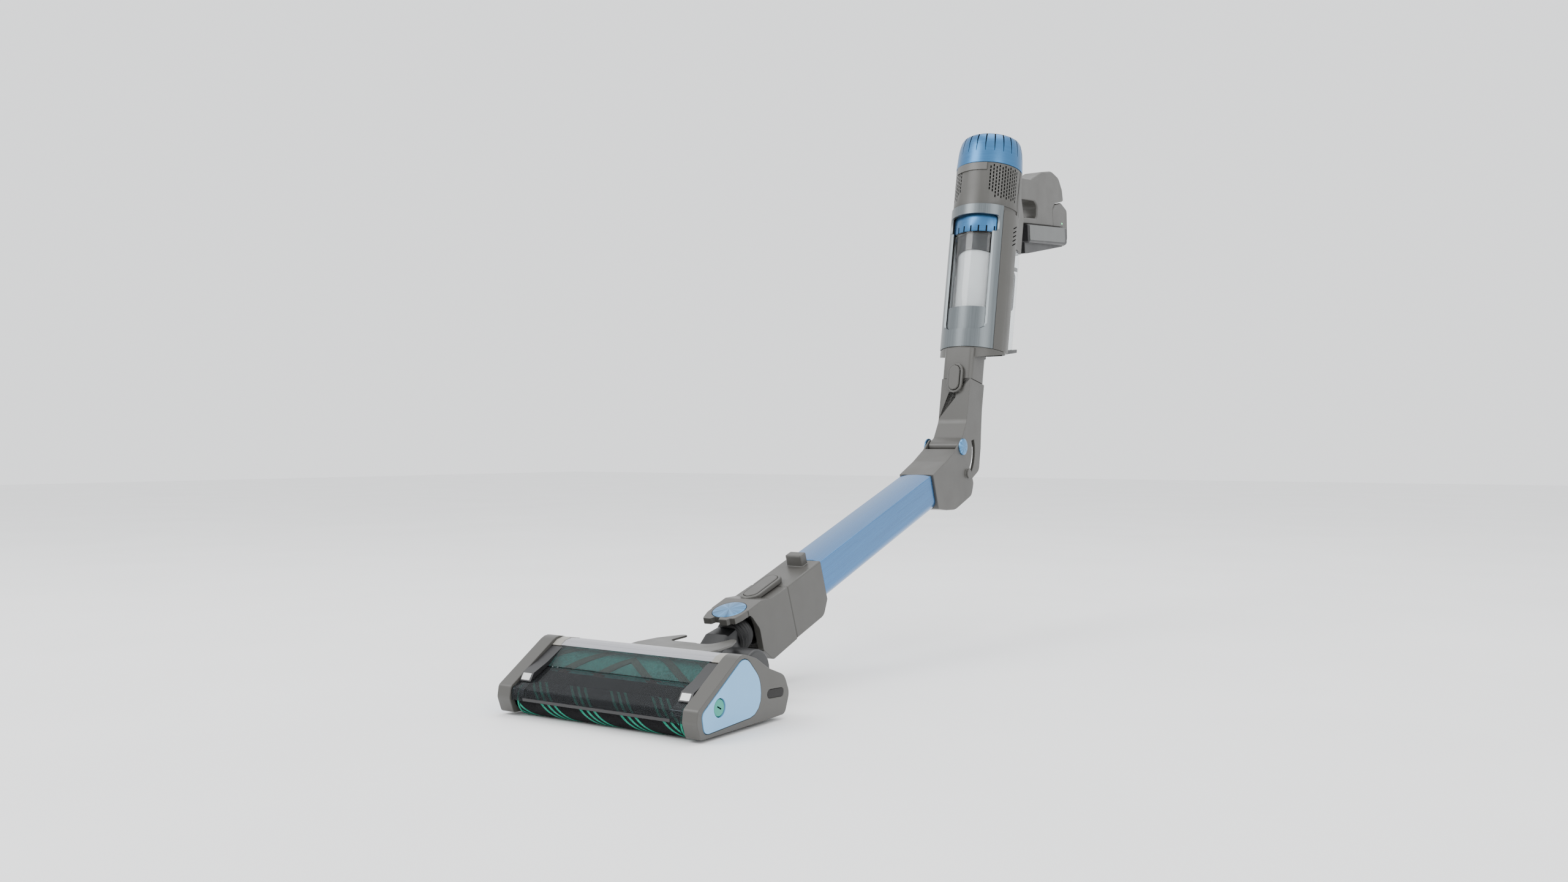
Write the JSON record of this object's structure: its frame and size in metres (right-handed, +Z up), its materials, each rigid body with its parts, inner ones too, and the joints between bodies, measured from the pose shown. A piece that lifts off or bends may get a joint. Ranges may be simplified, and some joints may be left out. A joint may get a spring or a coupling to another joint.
{
  "type": "cordless stick vacuum",
  "caption": "Cordless stick vacuum: a wide roller head, a steering neck, a straight tube, a folding wand joint and a handheld unit with a clear dust cup, a cap, a grip and a battery.",
  "frame": {"origin": "centre of the footprint, on the floor under the head", "axes": "+X to the vacuum's right side, -Y the way the head faces, +Z up"},
  "size_m": [0.2606, 1.1716, 0.7518],
  "materials": {
    "dark": "satin",
    "black": "matte",
    "smoke": "tinted",
    "silver": "satin",
    "taupe": "satin",
    "sky": "satin",
    "steel": "brushed",
    "rubber": "matte",
    "roller": "bristle",
    "brush": "bristle",
    "teal": "satin",
    "blue_metal": "metallic paint",
    "clear": "clear",
    "felt": "felt"
  },
  "bodies": {
    "floor_head": {"head_chassis": "dark", "sole_plate": "dark", "front_crossbar": "black", "front_visor": "smoke", "brush_window": "smoke", "top_bar": "silver", "neck_cover": "taupe", "right_end_housing": "taupe", "left_end_housing": "taupe", "right_side_panel": "sky", "left_side_panel": "sky", "right_headlight_pod": "dark", "left_headlight_pod": "dark", "right_trunnion": "dark", "left_trunnion": "dark", "brush_motor": "steel", "drive_belt": "rubber", "pitch_axle": "steel"},
    "front_roller": {"soft_roller": "roller"},
    "main_brush": {"brush_roll": "brush"},
    "right_wheel": {"right_rear_wheel": "rubber"},
    "left_wheel": {"left_rear_wheel": "rubber"},
    "panel_button": {"panel_release_button": "teal"},
    "neck": {"neck_yoke": "black", "neck_seal": "rubber", "steering_pin": "steel"},
    "lower_wand": {"neck_clevis": "taupe", "steering_cap": "blue_metal", "tube_socket": "taupe", "wand_tube": "blue_metal", "wiring_conduit": "black", "lower_hinge_housing": "taupe", "hinge_pin": "steel", "right_hinge_cap": "blue_metal", "left_hinge_cap": "blue_metal", "bend_hose": "rubber"},
    "lower_button": {"lower_release_button": "taupe"},
    "handheld": {"upper_wand": "taupe", "inlet_base": "taupe", "dust_cup": "clear", "cup_lower_band": "silver", "cyclone_shroud": "dark", "front_bezel": "silver", "motor_housing": "taupe", "name_plate": "taupe", "slit_ring": "blue_metal", "pre_motor_filter": "felt", "suction_motor": "steel", "exhaust_filter": "felt", "handle": "taupe"},
    "upper_button": {"upper_release_button": "taupe"},
    "fan": {"impeller": "steel"},
    "cap": {"filter_cap": "blue_metal"},
    "bin_door": {"dust_door": "dark"},
    "bin_latch": {"cup_latch": "dark"},
    "power_switch": {"power_button": "dark"},
    "battery": {"battery_pack": "dark", "battery_rear_cap": "taupe"},
    "battery_release": {"battery_button": "dark"}
  },
  "joints": [
    {"name": "neck_pitch", "type": "hinge", "parent": "floor_head", "child": "neck", "pos_m": [0, -0.39405, 0.034], "axis": [1, 0, 0], "range_deg": [-16, 55]},
    {"name": "neck_swivel", "type": "hinge", "parent": "neck", "child": "lower_wand", "pos_m": [0, -0.35132, 0.06453], "axis": [0, -0.3256, 0.9455], "range_deg": [-35, 35]},
    {"name": "wand_fold", "type": "hinge", "parent": "lower_wand", "child": "handheld", "pos_m": [0, 0.16208, 0.27515], "axis": [1, 0, 0], "range_deg": [-60.5, 98], "deforming": ["bend_hose"]},
    {"name": "front_roller_spin", "type": "hinge", "parent": "floor_head", "child": "front_roller", "pos_m": [0, -0.56305, 0.017], "axis": [1, 0, 0], "continuous": true},
    {"name": "brush_roll_spin", "type": "hinge", "parent": "floor_head", "child": "main_brush", "pos_m": [0, -0.50905, 0.0335], "axis": [1, 0, 0], "continuous": true},
    {"name": "right_wheel_spin", "type": "hinge", "parent": "floor_head", "child": "right_wheel", "pos_m": [0.043, -0.39705, 0.014], "axis": [1, 0, 0], "continuous": true},
    {"name": "left_wheel_spin", "type": "hinge", "parent": "floor_head", "child": "left_wheel", "pos_m": [-0.043, -0.39705, 0.014], "axis": [1, 0, 0], "continuous": true},
    {"name": "panel_release", "type": "slide", "parent": "floor_head", "child": "panel_button", "axis": [-1, 0, 0], "range_m": [0, 0.002], "stiffness_N_per_m": 300},
    {"name": "lower_release", "type": "slide", "parent": "lower_wand", "child": "lower_button", "axis": [0, 0.3256, -0.9455], "range_m": [0, 0.0025], "stiffness_N_per_m": 300},
    {"name": "upper_release", "type": "slide", "parent": "handheld", "child": "upper_button", "axis": [0, 0.9833, -0.1822], "range_m": [0, 0.0025], "stiffness_N_per_m": 300},
    {"name": "fan_spin", "type": "hinge", "parent": "handheld", "child": "fan", "pos_m": [0, 0.29817, 0.64454], "axis": [0, 0.1822, 0.9833], "continuous": true},
    {"name": "cap_twist", "type": "hinge", "parent": "handheld", "child": "cap", "pos_m": [0, 0.30947, 0.7055], "axis": [0, 0.1822, 0.9833], "range_deg": [0, 20]},
    {"name": "dust_door_swing", "type": "hinge", "parent": "handheld", "child": "bin_door", "pos_m": [0, 0.25032, 0.4083], "axis": [-1, 0, 0], "range_deg": [0, 80]},
    {"name": "latch_pull", "type": "slide", "parent": "handheld", "child": "bin_latch", "axis": [0, 0.9833, -0.1822], "range_m": [0, 0.003], "stiffness_N_per_m": 300},
    {"name": "power_press", "type": "slide", "parent": "handheld", "child": "power_switch", "axis": [0, 0.0958, -0.9954], "range_m": [0, 0.0015], "stiffness_N_per_m": 300},
    {"name": "battery_slide", "type": "slide", "parent": "handheld", "child": "battery", "axis": [0, 0.9954, 0.0958], "range_m": [0, 0.12]},
    {"name": "battery_release_press", "type": "slide", "parent": "battery", "child": "battery_release", "axis": [0, -0.9954, -0.0958], "range_m": [0, 0.002], "stiffness_N_per_m": 300}
  ]
}
